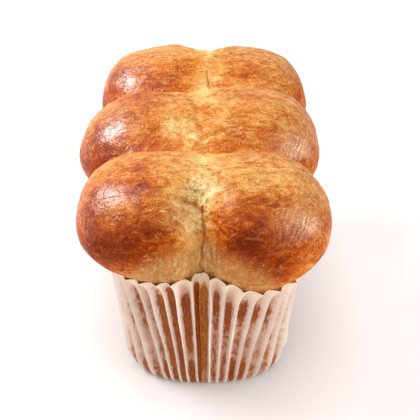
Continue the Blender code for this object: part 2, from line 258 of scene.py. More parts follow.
# Between these levels the ridges grow out of the base, the tucked foot comes out to the wall, the
# sheet starts to lean on the dough, and the sides are pressed flatter at the rim
RIDGES_GROW = (-0.03, 0.14)
FOOT_COMES_OUT = (0.0, 0.05)
LEAN_START = 0.04
LEAN_FULL = 0.10
SIDES_FLATTEN = (0.80, 0.97)
SIDE_FLATTENING = 0.60
FOOT_TUCK = 0.0009
FLOOR_INSET = 0.003
SHEET_THICKNESS = 0.00022
SHEET_CLEARANCE = 0.00030
SMOOTH_ANGLE = 40  # degrees
# Dough swelled into the flutes: how much of each flute it fills, how pointed it is there, then
# where it starts and ends against the rim, and how far in from the wall it fades
FLUTE_FILL = 0.74
FILL_SHARPNESS = 2.6
FILL_HEIGHTS = (0.045, 0.085)
FILL_START = (-0.016, -0.006)
FILL_END = (-0.0012, 0.0020)
FILL_FADE = (0.006, 0.012)
# Dough held in behind the sheet: its gap, how far it may be drawn back, between which heights, and
# the notch at both ends of the seam that is left as it is
HOLD_GAP = 0.00025
HOLD_REACH = 0.0030
HOLD_HEIGHTS = (0.004, 0.076)
NOTCH_HALF_WIDTH = 0.012
NOTCH_START = 0.070
# A ridge of this depth or more stands clear of the dough
CLEAR_DEPTH = 0.8
# Where baked fat has soaked each flute: top and bottom of its band, as shares of the wall, the
# band's strength, then the top and strength of the patch at its foot. The front's flutes have
# values of their own, then how thickly each is speckled and how golden its grease looks.
FREE_BANDS = ((0.70, 0.92), (0.25, 0.60), (0.35, 0.95), (0.08, 0.22), (0.40, 0.95))
FRONT_BANDS = {
    53: (0.60, 0.10, 0.50, 0.22, 0.85, 0.32, 0.50), 54: (0.86, 0.12, 0.90, 0.16, 0.95, 0.30, 0.60),
    55: (0.93, 0.10, 1.00, 0.18, 1.00, 0.30, 0.55), 56: (0.84, 0.30, 0.95, 0.22, 1.10, 0.30, 0.50),
    57: (0.92, -0.1, 1.20, 0.30, 1.10, 0.30, 0.38), 58: (0.90, 0.14, 1.10, 0.10, 0.60, 0.34, 0.85),
    0: (0.85, 0.58, 0.85, 0.16, 0.60, 0.50, 0.45), 1: (0.80, 0.48, 0.80, 0.12, 0.65, 0.52, 0.40),
    2: (0.84, 0.62, 1.00, 0.24, 0.95, 0.48, 0.40), 3: (0.80, 0.60, 0.90, 0.22, 1.00, 0.42, 0.50),
    4: (0.75, 0.55, 0.90, 0.16, 0.60, 0.34, 0.50),
}

# Studio
FLOOR_SIZE = 12.0
ROOM_LIGHT = 0.34
LIGHTS_AIM = (0, 0, 0.07)
# Lights: name, direction from the loaf, distance, width, height and power
LIGHTS = (
    ("key light", (-0.64, 0.13, 0.75), 1.1, 0.44, 0.36, 13.2),
    ("back light", (0.0, 0.93, 0.36), 1.2, 1.40, 0.60, 1.8),
    ("fill light", (0.70, -0.53, 0.48), 1.1, 0.30, 0.30, 2.0),
    ("side light", (0.96, -0.24, 0.12), 1.1, 0.45, 0.40, 3.6),
)
CAMERA_PLACE = (0.00503853, -0.41178879, 0.31377926)
CAMERA_LOOKS_DOWN = 32.5  # degrees
CAMERA_LENS = 80.23
CAMERA_SENSOR = 36.0


def linear(hex_colour):
    """An sRGB hex value as linear red, green, blue and alpha."""
    parts = [int(hex_colour[i : i + 2], 16) / 255 for i in (1, 3, 5)]
    return (*[p / 12.92 if p <= 0.04045 else ((p + 0.055) / 1.055) ** 2.4 for p in parts], 1.0)


def add_node(tree, kind, sockets=None, stops=None, **settings):
    """Adds a node, sets its properties, and fills its sockets with values or links."""
    new = tree.nodes.new("ShaderNode" + kind)
    for name, value in settings.items():
        setattr(new, name, value)
    for key, value in (sockets or {}).items():
        if isinstance(value, bpy.types.NodeSocket):
            tree.links.new(value, new.inputs[key])
        else:
            new.inputs[key].default_value = value
    if stops:
        ramp = new.color_ramp.elements
        while len(ramp) < len(stops):
            ramp.new(1.0)
        for element, (place, hex_colour) in zip(ramp, stops):
            element.position = place
            element.color = linear(hex_colour)
    return new


def new_material(name):
    """A new material, and its node tree, which is empty."""
    material = bpy.data.materials.new(name)
    material.use_nodes = True
    material.node_tree.nodes.clear()
    return material, material.node_tree


def smooth_step(value, start, end):
    """0 up to the start, 1 from the end on, and an eased rise between them."""
    t = np.clip((value - start) / (end - start), 0, 1)
    return t * t * (3 - 2 * t)


def switch_to(mode):
    bpy.ops.object.mode_set(mode=mode)


def new_object(name, data):
    """A new object in the scene."""
    new = bpy.data.objects.new(name, data)
    bpy.context.scene.collection.objects.link(new)
    return new


def select_only(piece):
    bpy.ops.object.select_all(action="DESELECT")
    piece.select_set(True)
    bpy.context.view_layer.objects.active = piece


def copy_of_node(node, name):
    """A new piece from a CAD node's mesh, with its loose triangles merged into one skin."""
    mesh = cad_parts[node].data.copy()
    mesh.name = name
    mesh.materials.clear()
    piece = new_object(name, mesh)
    select_only(piece)
    switch_to("EDIT")
    bpy.ops.mesh.select_all(action="SELECT")
    bpy.ops.mesh.remove_doubles(threshold=MERGE_DISTANCE)
    bpy.ops.mesh.tris_convert_to_quads(face_threshold=math.pi, shape_threshold=math.pi)
    switch_to("OBJECT")
    return piece


def apply_modifier(piece, kind, **settings):
    select_only(piece)
    modifier = piece.modifiers.new(kind.title(), kind)
    for name, value in settings.items():
        setattr(modifier, name, value)
    bpy.ops.object.modifier_apply(modifier=modifier.name)


def positions(mesh):
    flat = np.empty(len(mesh.vertices) * 3)
    mesh.vertices.foreach_get("co", flat)
    return flat.reshape(-1, 3)


def normals(mesh):
    flat = np.empty(len(mesh.vertices) * 3)
    mesh.vertices.foreach_get("normal", flat)
    return flat.reshape(-1, 3)


def set_positions(mesh, points):
    mesh.vertices.foreach_set("co", points.ravel())
    mesh.update()


def set_attribute(mesh, name, values):
    """Keeps one number for every vertex, for the material to read."""
    attribute = mesh.attributes.new(name, "FLOAT", "POINT")
    attribute.data.foreach_set("value", values.astype(np.float32))


# ---- crust


def relief(piece, name, kind, size, height, group, **settings):
    """Raises and lowers the crust along its normals by a pattern of this size."""
    texture = bpy.data.textures.new(name, kind)
    texture.noise_scale = size
    for key, value in settings.items():
        setattr(texture, key, value)
    apply_modifier(piece, "DISPLACE", texture=texture, strength=height, vertex_group=group)


def weight_group(piece, name, weights):
    """A vertex group with these weights."""
    group = piece.vertex_groups.new(name=name)
    for index, weight in enumerate(weights):
        if weight > 0:
            group.add((index,), float(weight), "REPLACE")
    return group.name


def distance_to_line(points, line, ways=None):
    """Distance from each point to a line through these corners, measured along the skin when the
    skin's normals are given."""
    nearest = np.full(len(points), 1.0)
    for start, end in zip(np.array(line[:-1]), np.array(line[1:])):
        along = end - start
        share = np.clip((points - start) @ along / (along @ along), 0, 1)
        gap = points - start - share[:, None] * along
        away = np.linalg.norm(gap, axis=1)
        if ways is not None:
            gap -= (gap * ways).sum(1)[:, None] * ways
            away = np.where(away < SKIN_REACH, np.linalg.norm(gap, axis=1), away)
        nearest = np.minimum(nearest, away)
    return nearest


def split_faces(mesh, chosen):
    """Splits the chosen faces into four."""
    switch_to("EDIT")
    bpy.ops.mesh.select_mode(type="FACE")
    bpy.ops.mesh.select_all(action="DESELECT")
    switch_to("OBJECT")
    mesh.polygons.foreach_set("select", chosen)
    switch_to("EDIT")
    bpy.ops.mesh.subdivide(number_cuts=1)
    switch_to("OBJECT")


def on_seam(points, stretch):
    """Whether each point lies in this stretch of the seam."""
    half_width, front, back, foot = stretch
    x, y, z = points.T
    return (np.abs(x - SEAM_X) < half_width) & (y > front) & (y < back) & (z > foot)


def refine_creases(crust):
    """Splits the faces round the cracks and folds, so that they come out sharp."""
    mesh = crust.data
    for stretch, reach, lightest in (
        (PUCKERED_SEAM, FINE_REACH, -1), (PITTED_SEAM, FINE_REACH / 2, DARK_CRACK),
    ):
        centres = np.array([face.center for face in mesh.polygons])
        close = on_seam(centres, stretch)
        for _, _, darkness, line in CREASES:
            if darkness > lightest:
                close |= distance_to_line(centres, line) < reach
        split_faces(mesh, close)


def carve_creases(mesh):
    """Cuts the cracks and folds in, each with a raised lip, and notes how dark they are."""
    points = positions(mesh)
    ways = normals(mesh)
    x, y, z = points.T
    wandering = points.copy()
    wandering[:, 0] += STRAY * np.sin(z / STRAY_LENGTH_UP) + STRAY * np.sin(y / STRAY_LENGTH_ALONG)
    push = np.zeros(len(points))
    dark = np.zeros(len(points))
    for depth, width, darkness, line in CREASES:
        away = distance_to_line(wandering, line, ways)
        lip = np.exp(-(((away - LIP_DISTANCE * width) / (LIP_WIDTH * width)) ** 2))
        push -= depth * np.exp(-((away / width) ** 2))
        push += LIP_HEIGHT * depth * lip
        dark = np.maximum(dark, darkness * np.exp(-((away / (DARK_WIDTH * width)) ** 2)))
    random = np.random.default_rng(PIT_SEED)
    for _ in range(PITS):
        pit_y = random.uniform(PITS_FRONT, PITS_BACK)
        pit_x = SEAM_X + random.normal(0, PIT_SCATTER)
        size = random.uniform(SMALLEST_PIT, LARGEST_PIT)
        away = np.hypot(x - pit_x, y - pit_y) + (z < PITS_FOOT)
        inside = np.exp(-((away / size) ** 2))
        push -= PIT_DEPTH * size * inside
        dark = np.maximum(dark, PIT_DARKNESS * inside)
    set_positions(mesh, points + ways * push[:, None])
    set_attribute(mesh, "crease", dark)


def make_crust():
    """The six balls' crust, from the plain bread: smoother, wrinkled, cracked and browned."""
    crust = copy_of_node("brioche", "brioche_crust")
    apply_modifier(crust, "SUBSURF", levels=CRUST_LEVELS, render_levels=CRUST_LEVELS)
    refine_creases(crust)
    mesh = crust.data
    points = positions(mesh)
    bare = smooth_step(points[:, 2], RIM_HEIGHT, RIM_HEIGHT + RELIEF_FADE)
    group = weight_group(crust, "bare crust", bare)
    near_seam = bare * np.exp(-(((points[:, 0] - SEAM_X) / PUCKER_REACH) ** 2))
    seam_group = weight_group(crust, "near the seam", near_seam)
    relief(crust, "lumps", "CLOUDS", LUMP_SIZE, LUMP_RELIEF, group)
    relief(crust, "wrinkles", "CLOUDS", WRINKLE_SIZE, WRINKLE_RELIEF, group, noise_depth=3)
    relief(crust, "puckers", "CLOUDS", PUCKER_SIZE, PUCKER_RELIEF, seam_group, noise_depth=1)
    carve_creases(mesh)
    # The crown is brought back under the height of the plain bread
    points = positions(mesh)
    lowered = min((TOP_HEIGHT - RIM_HEIGHT) / (points[:, 2].max() - RIM_HEIGHT), 1)
    high = points[:, 2] > RIM_HEIGHT
    points[high, 2] = RIM_HEIGHT + (points[high, 2] - RIM_HEIGHT) * lowered
    set_positions(mesh, points)
    select_only(crust)
    bpy.ops.object.shade_smooth()
    paint_crust(mesh)
    crust.vertex_groups.clear()
    return crust


def near_places(points, spots):
    """How strongly each point belongs to one of some spots, each a place, a size and a strength."""
    near = np.zeros(len(points))
    for place, size, strength in spots:
        away = np.linalg.norm(points - np.array(place), axis=1)
        near = np.maximum(near, strength * np.exp(-((away / size) ** 2)))
    return near


def paint_crust(mesh):
    """Notes how far each place has browned, from pale stretched dough at 0 to dark crust at 1, with
    painted shade added in the dips between the rows, and where the crust is stretched, washed with
    egg, rippled, or pulled up out of the case."""
    points = positions(mesh)
    ways = normals(mesh)
    x, y, z = points.T
    up = ways[:, 2]
    side = np.abs(x - SEAM_X)
    at_rim = 1 - smooth_step(z - RIM_HEIGHT, 0.0, RIM_WIDTH)
    browning_and_shade = BROWN_TOPS + BROWN_SIDES * (1 - smooth_step(up, 0.10, 0.80))
    paler = PALE_SEAM + PALE_SEAM_TOP * smooth_step(up, 0.30, 0.75)
    browning_and_shade -= paler * np.exp(-((side / SEAM_WIDTH) ** 2))
    for place, size, amount in PATCHES:
        away = np.linalg.norm(points - np.array(place), axis=1)
        browning_and_shade += amount * np.exp(-((away / size) ** 2))
    # Painted shade in the dips between the rows, away from the seam
    for dip in (-HALF_ROW, HALF_ROW):
        across = smooth_step(side, 0.004, 0.014)
        browning_and_shade += DIP_SHADE * np.exp(-(((y - dip) / DIP_WIDTH) ** 2)) * across
    ends = smooth_step(np.abs(y), 0.074, 0.084) * (1 - smooth_step(z, 0.076, 0.096))
    browning_and_shade -= PALE_ENDS * ends * np.exp(-(((x - SEAM_X + END_SHIFT) / END_WIDTH) ** 2))
    browning_and_shade -= PALE_RIM * at_rim
    set_attribute(mesh, "browning_and_shade", np.clip(browning_and_shade, 0, 1))
    stretched = np.exp(-((side / STRETCH_WIDTH) ** 2)) + at_rim
    set_attribute(mesh, "stretched", np.clip(stretched, 0, 1))
    # The egg wash was brushed on from above, and thins out down the sides
    left, right = smooth_step(-ways[:, 0], 0.55, 0.90), smooth_step(ways[:, 0], 0.75, 0.95)
    brushed = np.maximum(smooth_step(up, 0.28, 0.65), left + SIDE_WASH_RIGHT * right)
    pooled = smooth_step(up, 0.15, 0.35) * near_places(points, GLOSSY_SPOTS)
    set_attribute(mesh, "washed", LEAST_WASH + TOP_WASH * brushed + POOLED_WASH * pooled)
    set_attribute(mesh, "rippled", near_places(points, RIPPLED_SPOTS))
    on_right = smooth_step(x, 0.006, 0.014)
    drop = PULL_DROP * np.minimum(side / PULL_HALF_WIDTH, 1) ** PULL_ROUNDNESS
    pull_top = PULL_TOP - drop - PULL_DROP_RIGHT * on_right
    pulled = 1 - smooth_step(z, pull_top - PULL_FADE, pull_top)
    set_attribute(mesh, "pulled", pulled * (1 - PULL_WEAKER_RIGHT * on_right))


def crust_material():
    """Egg-washed brioche crust, brushed and baked: golden, glossy and finely crinkled."""
    material, tree = new_material("egg_washed_crust")
    place = add_node(tree, "TexCoord").outputs["Object"]
    browning_and_shade, stretched, rippled, pulled, crease, washed = (
        add_node(tree, "Attribute", attribute_name=name).outputs["Fac"]
        for name in ("browning_and_shade", "stretched", "rippled", "pulled", "crease", "washed")
    )
    # Soft mottling of the browned egg wash, 8 mm
    mottling = add_node(tree, "TexNoise", {
        "Vector": place, "Scale": 1 / 0.0080, "Detail": 3.0, "Roughness": 0.6, "Distortion": 0.5,
    }).outputs["Fac"]
    mottled = add_node(tree, "MapRange", {
        "Value": mottling, "From Min": 0.38, "From Max": 0.62, "To Min": -0.06, "To Max": 0.06,
    }, clamp=False).outputs["Result"]
    # Streaks where the skin stretched as it rose and the wash lay thinner or thicker, 4 mm across
    drawn_out = add_node(tree, "Mapping", {
        "Vector": place, "Rotation": (0.0, 0.25, 0.30), "Scale": (0.45, 1.0, 0.9),
    }).outputs["Vector"]
    flecks = add_node(tree, "TexNoise", {
        "Vector": drawn_out, "Scale": 1 / 0.0040, "Detail": 6.0, "Roughness": 0.68,
        "Distortion": 1.6,
    }).outputs["Fac"]
    flecked = add_node(tree, "MapRange", {
        "Value": flecks, "From Min": 0.41, "From Max": 0.59, "To Min": -0.10, "To Max": 0.10,
    }, clamp=False).outputs["Result"]
    # Pale threads of stretched dough, half a millimetre wide and curled
    curls = add_node(tree, "TexNoise", {
        "Vector": drawn_out, "Scale": 1 / 0.0052, "Detail": 2.0, "Distortion": 1.2,
    }).outputs["Fac"]
    from_thread = add_node(tree, "Math", {0: curls, 1: 0.5}, operation="SUBTRACT").outputs[0]
    off_thread = add_node(tree, "Math", {0: from_thread}, operation="ABSOLUTE").outputs[0]
    line = add_node(tree, "MapRange", {
        "Value": off_thread, "From Max": 0.040, "To Min": 1.0, "To Max": 0.0,
    }, interpolation_type="SMOOTHSTEP").outputs["Result"]
    parted = add_node(tree, "MapRange", {
        "Value": mottling, "From Min": 0.44, "From Max": 0.56, "To Min": 0.1,
    }, interpolation_type="SMOOTHSTEP").outputs["Result"]
    thread = add_node(tree, "Math", {0: line, 1: parted}, operation="MULTIPLY").outputs[0]
    # Ripples 2.4 mm apart where the skin slid over the dough
    slanted = add_node(tree, "Mapping", {
        "Vector": place, "Rotation": (0.0, -0.42, 0.0),
    }).outputs["Vector"]
    ripples = add_node(tree, "TexWave", {
        "Vector": slanted, "Scale": 2 * math.pi / (20 * 0.0024), "Distortion": 9.0,
        "Detail": 3.0, "Detail Scale": 0.9, "Detail Roughness": 0.6,
    }).outputs["Fac"]
    ripple = add_node(tree, "Math", {0: ripples, 1: rippled}, operation="MULTIPLY").outputs[0]
    # Upright lines 1.6 mm apart where the dough was pulled up out of the case
    upright = add_node(tree, "Mapping", {
        "Vector": place, "Scale": (1.0, 1.0, 0.14),
    }).outputs["Vector"]
    lines = add_node(tree, "TexNoise", {
        "Vector": upright, "Scale": 1 / 0.0016, "Detail": 2.0, "Distortion": 0.4,
    }).outputs["Fac"]
    lined = add_node(tree, "MapRange", {
        "Value": lines, "From Min": 0.35, "From Max": 0.65, "To Min": -0.20, "To Max": 0.20,
    }, clamp=False).outputs["Result"]
    # Crinkles of the dried egg skin, 1.7 mm apart, with painted shade and light: browner in the
    # hollows and paler on the tops
    crinkles = add_node(tree, "TexNoise", {
        "Vector": place, "Scale": 1 / 0.0017, "Detail": 2.5, "Roughness": 0.6, "Distortion": 2.0,
    }).outputs["Fac"]
    crinkle_shade = add_node(tree, "MapRange", {
        "Value": crinkles, "From Min": 0.36, "From Max": 0.64, "To Min": 0.045, "To Max": -0.04,
    }, clamp=False).outputs["Result"]
    speckled = add_node(tree, "Math", {0: flecked, 1: crinkle_shade}, operation="ADD").outputs[0]
    spotted = add_node(tree, "Math", {0: mottled, 1: speckled}, operation="ADD").outputs[0]
    threaded = add_node(tree, "Math", {
        0: thread, 1: -0.18, 2: spotted,
    }, operation="MULTIPLY_ADD").outputs[0]
    drawn = add_node(tree, "Math", {
        0: lined, 1: pulled, 2: threaded,
    }, operation="MULTIPLY_ADD").outputs[0]
    browned = add_node(tree, "Math", {0: browning_and_shade, 1: drawn}, operation="ADD").outputs[0]
    baked = add_node(tree, "ValToRGB", {"Fac": browned}, stops=(
        (0.00, "#ffe2a0"), (0.20, "#f3b566"), (0.40, "#dd8736"), (0.55, "#ca6618"),
        (0.70, "#ae4606"), (0.85, "#933403"), (1.00, "#7c2802"),
    )).outputs["Color"]
    # Unwashed dough is duller and more ochre
    bare = add_node(tree, "Math", {0: pulled, 1: 0.75}, operation="MULTIPLY").outputs[0]
    dough = add_node(tree, "ValToRGB", {"Fac": lines}, stops=(
        (0.34, "#ad763c"), (0.50, "#c89454"), (0.66, "#e8c48a"),
    )).outputs["Color"]
    dulled = add_node(tree, "Mix", {0: bare, 6: baked, 7: dough}, data_type="RGBA").outputs[2]
    # Cracks, folds and pits are painted darker: the moist crumb, and painted shade inside them
    creased = add_node(tree, "Mix", {
        0: crease, 6: dulled, 7: linear("#9c4f12"),
    }, data_type="RGBA").outputs[2]
    # Painted shade darkens the crinkles' hollows; painted glints whiten their tops, painted
    # highlights whiten the ripples, and the threads are whitened too
    hollow_shade = add_node(tree, "MapRange", {
        "Value": crinkles, "From Min": 0.36, "From Max": 0.64, "To Min": 0.85, "To Max": 1.14,
    }, clamp=False).outputs["Result"]
    shaded = add_node(tree, "Mix", {
        0: 1.0, 6: creased, 7: hollow_shade,
    }, data_type="RGBA", blend_type="MULTIPLY").outputs[2]
    painted_glints = add_node(tree, "MapRange", {
        "Value": crinkles, "From Min": 0.50, "From Max": 0.68, "To Max": 0.014,
    }).outputs["Result"]
    threads = add_node(tree, "Math", {
        0: thread, 1: 0.07, 2: painted_glints,
    }, operation="MULTIPLY_ADD").outputs[0]
    # Painted highlights on the ripples and painted glints on the crinkles, with the whitish threads
    dry_and_painted_light = add_node(tree, "Math", {
        0: ripple, 1: 0.09, 2: threads,
    }, operation="MULTIPLY_ADD").outputs[0]
    colour = add_node(tree, "Mix", {
        0: dry_and_painted_light, 6: shaded, 7: linear("#ecc9a6"),
    }, data_type="RGBA").outputs[2]
    # Relief of the skin: crinkles, threads, ripples and upright lines
    ribbed = add_node(tree, "Math", {0: lines, 1: pulled}, operation="MULTIPLY").outputs[0]
    raised = add_node(tree, "Math", {
        0: thread, 1: 0.80, 2: crinkles,
    }, operation="MULTIPLY_ADD").outputs[0]
    folded = add_node(tree, "Math", {
        0: ripple, 1: 1.1, 2: raised,
    }, operation="MULTIPLY_ADD").outputs[0]
    skin = add_node(tree, "Math", {
        0: ribbed, 1: 0.8, 2: folded,
    }, operation="MULTIPLY_ADD").outputs[0]
    bump = add_node(tree, "Bump", {"Height": skin, "Distance": 0.00042}).outputs["Normal"]
    # The glaze lies smoother than the skin under it
    glaze = add_node(tree, "Bump", {"Height": skin, "Distance": 0.00016}).outputs["Normal"]
    # Stretched dough is duller, with less wash on it, and the tops of the crinkles shine most
    gloss = add_node(tree, "MapRange", {
        "Value": stretched, "To Min": 0.42, "To Max": 0.62,
    }).outputs["Result"]
    wash = add_node(tree, "MapRange", {
        "Value": stretched, "To Min": 0.92, "To Max": 0.30,
    }).outputs["Result"]
    glint = add_node(tree, "MapRange", {
        "Value": crinkles, "From Min": 0.36, "From Max": 0.52, "To Min": 0.62,
    }).outputs["Result"]
    glazed = add_node(tree, "Math", {0: wash, 1: glint}, operation="MULTIPLY").outputs[0]
    coat = add_node(tree, "Math", {0: glazed, 1: washed}, operation="MULTIPLY").outputs[0]
    shader = add_node(tree, "BsdfPrincipled", {
        "Base Color": colour, "Roughness": gloss, "IOR": 1.45, "Normal": bump,
        "Specular IOR Level": 0.03, "Coat Weight": coat, "Coat Roughness": 0.31, "Coat IOR": 2.0,
        "Coat Normal": glaze,
    })
    add_node(tree, "OutputMaterial", {"Surface": shader.outputs["BSDF"]})
    return material


# ---- paper case


def case_outline(height):
    """Corner points of the straight wall at one height, from the front centre."""
    share = height / CASE_HEIGHT
    half_width = BASE_HALF_WIDTH + SPREAD_SIDE * share
    half_length = BASE_HALF_LENGTH + SPREAD_END * share
    turns = np.linspace(-math.pi, 0, OUTLINE_POINTS)
    bend = 2 / END_POWER
    arc_x = half_width * np.sign(np.cos(turns)) * np.abs(np.cos(turns)) ** bend
    arc_y = -(half_length - END_DEPTH) - END_DEPTH * np.abs(np.sin(turns)) ** bend
    front = np.stack((arc_x, arc_y), -1)
    middle = OUTLINE_POINTS // 2
    return np.concatenate((front[middle:], -front, front[: middle + 1]))


def along_outline(ring, shares):
    """Points at these shares of the way round a ring of corner points."""
    steps = np.hypot(*np.diff(ring, axis=0).T)
    walked = np.concatenate(((0.0,), np.cumsum(steps)))
    places = (shares % 1) * walked[-1]
    return np.stack([np.interp(places, walked, ring[:, axis]) for axis in (0, 1)], -1)


def wall_frame(shares, height):
    """Points of the straight wall at one height, and the ways out from them."""
    ring = case_outline(height)
    ahead, behind = (along_outline(ring, shares + step) for step in (OUTLINE_STEP, -OUTLINE_STEP))
    tangent = ahead - behind
    out = np.stack((tangent[:, 1], -tangent[:, 0]), -1)
    return along_outline(ring, shares) + CASE_MIDDLE, out / np.hypot(*out.T)[:, None]


def rim_length():
    """Length of the case's straight rim, all the way round."""
    return np.hypot(*np.diff(case_outline(CASE_HEIGHT), axis=0).T).sum()


def ridges():
    """Every ridge's distance along the rim from the front centre, and its depth."""
    random = np.random.default_rng(PLEAT_SEED)
    length = rim_length()
    free = PLEATS - len(FRONT_RIDGES)
    first = FRONT_RIDGES[-1][0]
    last = FRONT_RIDGES[0][0] + length
    pitch = (last - first) / (free + 1)
    places = [place % length for place, _ in FRONT_RIDGES]
    depths = [depth for _, depth in FRONT_RIDGES]
    for step in range(1, free + 1):
        places.append(first + pitch * (step + RIDGE_UNEVENNESS * random.uniform(-1, 1)))
        depths.append(1 + DEPTH_UNEVENNESS * random.uniform(-1, 1))
    order = np.argsort(places)
    return np.array(places)[order], np.array(depths)[order]


def gathered(columns, level):
    """Shares of the way round for columns given by their distance along the rim."""
    length = rim_length()
    half = length / 2
    from_end = (columns + half / 2) % half - half / 2
    freed = smooth_step(np.abs(from_end), GATHER_HELD, GATHER_HELD + GATHER_FADE)
    held = GATHER + (1 - GATHER) * freed
    pull = from_end * (1 - held) * (1 - level)
    return (columns - pull) / length


def dough_reach(dough, at, out, height):
    """How far the dough stands out past the straight wall at this height, or short of it."""
    start = Vector((*(at + out * FARTHEST / 2), height))
    hit = dough.ray_cast(start, Vector((*(-out), 0.0)), FARTHEST)
    return FARTHEST / 2 - hit[3] if hit[0] else 0.0


def rim_heights(dough, shares):
    """The rim stops where the crown's bulge would push it out too far."""
    heights = []
    for share in shares:
        height = RIM_HEIGHT
        while height > LOWEST_RIM:
            at, out = wall_frame(np.array((share,)), height)
            limit = RIM_FLARE_SIDE + (RIM_FLARE_END - RIM_FLARE_SIDE) * out[0][1] ** 2
            if dough_reach(dough, at[0], out[0], height) <= limit:
                break
            height -= RIM_STEP
        heights.append(height)
    heights = np.array(heights)
    eased = heights.copy()
    for _ in range(RIM_EASINGS):
        eased = np.minimum((np.roll(eased, 1) + 2 * eased + np.roll(eased, -1)) / 4, heights)
    return eased


def ring_columns():
    """Every column of the sheet: its distance along the rim, the number of the ridge before it, its
    share of the way to the next one, and its depth."""
    places, depths = ridges()
    gaps = (np.roll(places, -1) - places) % rim_length()
    columns = (places[:, None] + gaps[:, None] * np.array(PLEAT_STEPS)).ravel()
    number = np.repeat(np.arange(PLEATS), len(PLEAT_STEPS))
    step = np.tile(PLEAT_STEPS, PLEATS)
    depth = depths[number] * (1 - step) + np.roll(depths, -1)[number] * step
    return columns, number, step, depth


def sheet_points(dough):
    """Rings of points of the fluted sheet, each point's fold share, and the rings' levels."""
    columns, number, step, depth = ring_columns()
    random = np.random.default_rng(PLEAT_SEED + 1)
    lean = random.uniform(-1, 1, PLEATS)
    phase = random.uniform(0, 6, PLEATS)
    rims = rim_heights(dough, gathered(columns, 1.0))
    rings = []
    folds = []
    levels = np.linspace(0, 1, SHEET_RINGS) ** RING_SPACING
    for level in levels:
        shares = gathered(columns, level)
        fold = np.abs(2 * step - 1) ** (SHARPNESS - SHARPNESS_LOSS * level**1.5)
        deep = RIDGE_DEPTH_BASE + (RIDGE_DEPTH_RIM - RIDGE_DEPTH_BASE) * level
        deep *= smooth_step(level, *RIDGES_GROW)
        tucked = FOOT_TUCK * (1 - smooth_step(level, *FOOT_COMES_OUT))
        squeezed = smooth_step(level, *SIDES_FLATTEN)
        ring = []
        for i in range(len(columns)):
            height = level * rims[i]
            at, out = wall_frame(shares[i : i + 1], height)
            at, out = at[0], out[0]
            reach = 0.0
            if level > LEAN_START:
                leant = max(dough_reach(dough, at, out, height), -RIM_TUCK * level)
                reach = (SHEET_CLEARANCE + leant) * min(level / LEAN_FULL, 1)
            near = number[i] if step[i] < 0.5 else (number[i] + 1) % PLEATS
            winding = RIDGE_WINDING * math.sin(height / WINDING_LENGTH + phase[near])
            sideways = fold[i] ** 2 * level * (RIDGE_LEAN * lean[near] + winding)
            along = np.array((-out[1], out[0]))
            stands = fold[i] * depth[i] * deep * (1 - SIDE_FLATTENING * out[0] ** 2 * squeezed)
            spot = at + out * (reach + stands - tucked) + along * sideways
            ring.append((*spot, height + RIDGE_TIP * fold[i] * level**4))
        rings.append(ring)
        folds.append(fold)
    return np.array(rings), np.array(folds), levels


def nearest_column(points, at):
    """The column of the sheet nearest to each point, seen from above, and how far off it is."""
    away = np.linalg.norm(points[:, None, :2] - at[None], axis=2)
    return away.argmin(1), away.min(1)


def fill_flutes(crust, dough):
    """Swells the dough into the flutes just under the rim, so that it meets the paper there."""
    columns, _, step, depth = ring_columns()
    shares = gathered(columns, 1.0)
    rims = rim_heights(dough, shares)
    at, out = wall_frame(shares, CASE_HEIGHT)
    pointed = np.abs(2 * step - 1) ** FILL_SHARPNESS
    flatter = 1 - SIDE_FLATTENING * out[:, 0] ** 2
    swelling = FLUTE_FILL * RIDGE_DEPTH_RIM * flatter * depth * pointed
    points = positions(crust.data)
    lowest, highest = FILL_HEIGHTS
    chosen = np.flatnonzero((points[:, 2] > lowest) & (points[:, 2] < highest))
    column, away = nearest_column(points[chosen], at)
    over_rim = points[chosen, 2] - rims[column]
    share = smooth_step(over_rim, *FILL_START) * (1 - smooth_step(over_rim, *FILL_END))
    share *= 1 - smooth_step(away, *FILL_FADE)
    points[chosen, :2] += out[column] * (share * swelling[column])[:, None]
    set_positions(crust.data, points)


def hold_in(crust, paper):
    """Draws the dough back to just behind the sheet wherever it would show through it."""
    sheet = BVHTree.FromObject(paper, bpy.context.evaluated_depsgraph_get())
    columns, _, _, _ = ring_columns()
    at, out = wall_frame(gathered(columns, 1.0), CASE_HEIGHT)
    points = positions(crust.data)
    x, y, z = points.T
    beside_notch = (np.abs(x - SEAM_X) > NOTCH_HALF_WIDTH) | (np.abs(y) < NOTCH_START)
    lowest, highest = HOLD_HEIGHTS
    held = np.flatnonzero((z > lowest) & (z < highest) & beside_notch)
    column, _ = nearest_column(points[held], at)
    for i, (way_x, way_y) in zip(held, out[column]):
        way = Vector((way_x, way_y, 0.0))
        place, _, _, _ = sheet.ray_cast(Vector(points[i]) + way * HOLD_GAP, -way, HOLD_REACH)
        if place:
            points[i] = place - way * (SHEET_THICKNESS + HOLD_GAP)
    set_positions(crust.data, points)


